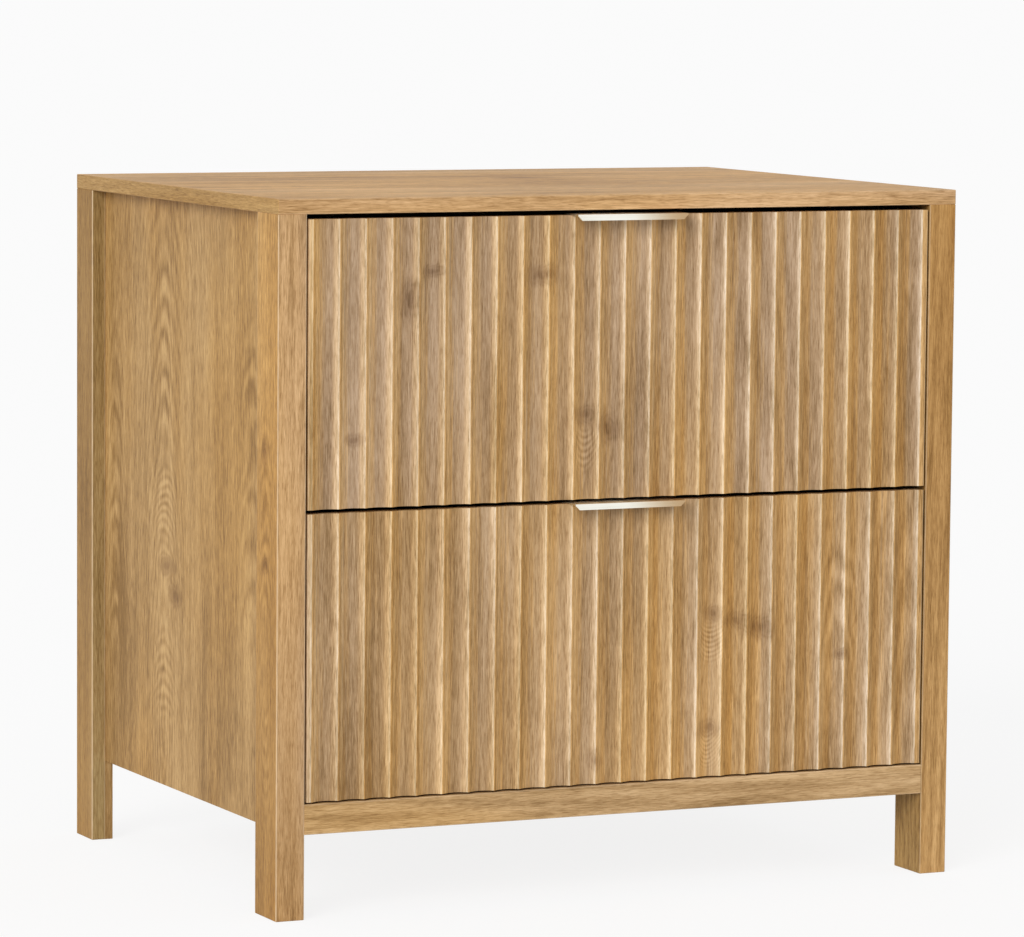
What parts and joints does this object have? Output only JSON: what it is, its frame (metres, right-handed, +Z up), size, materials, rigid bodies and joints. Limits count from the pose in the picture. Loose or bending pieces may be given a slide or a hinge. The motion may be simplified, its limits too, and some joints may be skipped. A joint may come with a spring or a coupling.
{
  "type": "filing cabinet",
  "caption": "Low wide filing cabinet on post legs, with fluted inset drawer fronts, metal edge pulls and telescopic runners for hanging files.",
  "frame": {"origin": "on the floor under the middle of the outline, pulls included", "axes": "+Z up, +Y from the drawer fronts to the back, +X along the width to the right seen from the front"},
  "size_m": [0.8, 0.616, 0.755],
  "materials": {
    "carcass_oak": "matt oak-effect foil",
    "panel_oak": "matt oak-effect foil",
    "front_oak": "matt oak-effect foil",
    "inner_board": "melamine-faced board",
    "hardboard": "smooth hardboard",
    "pull_brass": "brushed pale gold",
    "runner_steel": "zinc-plated",
    "cage_plastic": "moulded",
    "cam_zinc": "die-cast zinc",
    "screw_steel": "zinc-plated",
    "bar_steel": "black enamel",
    "clip_plastic": "moulded"
  },
  "bodies": {
    "cabinet": {"top_board": "carcass_oak", "front_post_left": "carcass_oak", "front_post_right": "carcass_oak", "rear_post_left": "carcass_oak", "rear_post_right": "carcass_oak", "side_panel_left": "panel_oak", "side_panel_right": "panel_oak", "front_rail": "carcass_oak", "bottom_panel": "inner_board", "rear_top_rail": "inner_board", "rear_bottom_rail": "inner_board", "back_panel": "hardboard", "carcass_cams": "cam_zinc", "upper_runner_cleat_left": "inner_board", "upper_cabinet_runner_left": "runner_steel", "upper_runner_cleat_right": "inner_board", "upper_cabinet_runner_right": "runner_steel", "lower_runner_cleat_left": "inner_board", "lower_cabinet_runner_left": "runner_steel", "lower_runner_cleat_right": "inner_board", "lower_cabinet_runner_right": "runner_steel"},
    "upper_drawer": {"upper_drawer_front": "front_oak", "upper_drawer_side_left": "inner_board", "upper_drawer_side_right": "inner_board", "upper_drawer_back": "inner_board", "upper_drawer_base": "hardboard", "upper_drawer_cams": "cam_zinc", "upper_drawer_runner_left": "runner_steel", "upper_drawer_runner_right": "runner_steel", "upper_pull": "pull_brass", "upper_pull_screws": "screw_steel", "upper_file_bar_front": "bar_steel", "upper_file_bar_rear": "bar_steel", "upper_bar_clips": "clip_plastic"},
    "upper_middle_runners": {"upper_middle_runner_left": "runner_steel", "upper_middle_runner_right": "runner_steel"},
    "upper_outer_cages": {"upper_outer_ball_cages": "cage_plastic"},
    "upper_inner_cages": {"upper_inner_ball_cages": "cage_plastic"},
    "lower_drawer": {"lower_drawer_front": "front_oak", "lower_drawer_side_left": "inner_board", "lower_drawer_side_right": "inner_board", "lower_drawer_back": "inner_board", "lower_drawer_base": "hardboard", "lower_drawer_cams": "cam_zinc", "lower_drawer_runner_left": "runner_steel", "lower_drawer_runner_right": "runner_steel", "lower_pull": "pull_brass", "lower_pull_screws": "screw_steel", "lower_file_bar_front": "bar_steel", "lower_file_bar_rear": "bar_steel", "lower_bar_clips": "clip_plastic"},
    "lower_middle_runners": {"lower_middle_runner_left": "runner_steel", "lower_middle_runner_right": "runner_steel"},
    "lower_outer_cages": {"lower_outer_ball_cages": "cage_plastic"},
    "lower_inner_cages": {"lower_inner_ball_cages": "cage_plastic"}
  },
  "joints": [
    {"name": "upper_drawer_slide", "type": "slide", "parent": "cabinet", "child": "upper_drawer", "axis": [0, -1, 0], "range_m": [0, 0.48]},
    {"name": "upper_middle_runners_slide", "type": "slide", "parent": "cabinet", "child": "upper_middle_runners", "axis": [0, -1, 0], "range_m": [0, 0.24]},
    {"name": "upper_outer_cages_slide", "type": "slide", "parent": "cabinet", "child": "upper_outer_cages", "axis": [0, -1, 0], "range_m": [0, 0.12]},
    {"name": "upper_inner_cages_slide", "type": "slide", "parent": "cabinet", "child": "upper_inner_cages", "axis": [0, -1, 0], "range_m": [0, 0.36]},
    {"name": "lower_drawer_slide", "type": "slide", "parent": "cabinet", "child": "lower_drawer", "axis": [0, -1, 0], "range_m": [0, 0.48]},
    {"name": "lower_middle_runners_slide", "type": "slide", "parent": "cabinet", "child": "lower_middle_runners", "axis": [0, -1, 0], "range_m": [0, 0.24]},
    {"name": "lower_outer_cages_slide", "type": "slide", "parent": "cabinet", "child": "lower_outer_cages", "axis": [0, -1, 0], "range_m": [0, 0.12]},
    {"name": "lower_inner_cages_slide", "type": "slide", "parent": "cabinet", "child": "lower_inner_cages", "axis": [0, -1, 0], "range_m": [0, 0.36]}
  ],
  "couplings": [
    {"joint": "upper_middle_runners_slide", "follows": "upper_drawer_slide", "ratio": 0.5},
    {"joint": "upper_outer_cages_slide", "follows": "upper_drawer_slide", "ratio": 0.25},
    {"joint": "upper_inner_cages_slide", "follows": "upper_drawer_slide", "ratio": 0.75},
    {"joint": "lower_middle_runners_slide", "follows": "lower_drawer_slide", "ratio": 0.5},
    {"joint": "lower_outer_cages_slide", "follows": "lower_drawer_slide", "ratio": 0.25},
    {"joint": "lower_inner_cages_slide", "follows": "lower_drawer_slide", "ratio": 0.75}
  ]
}
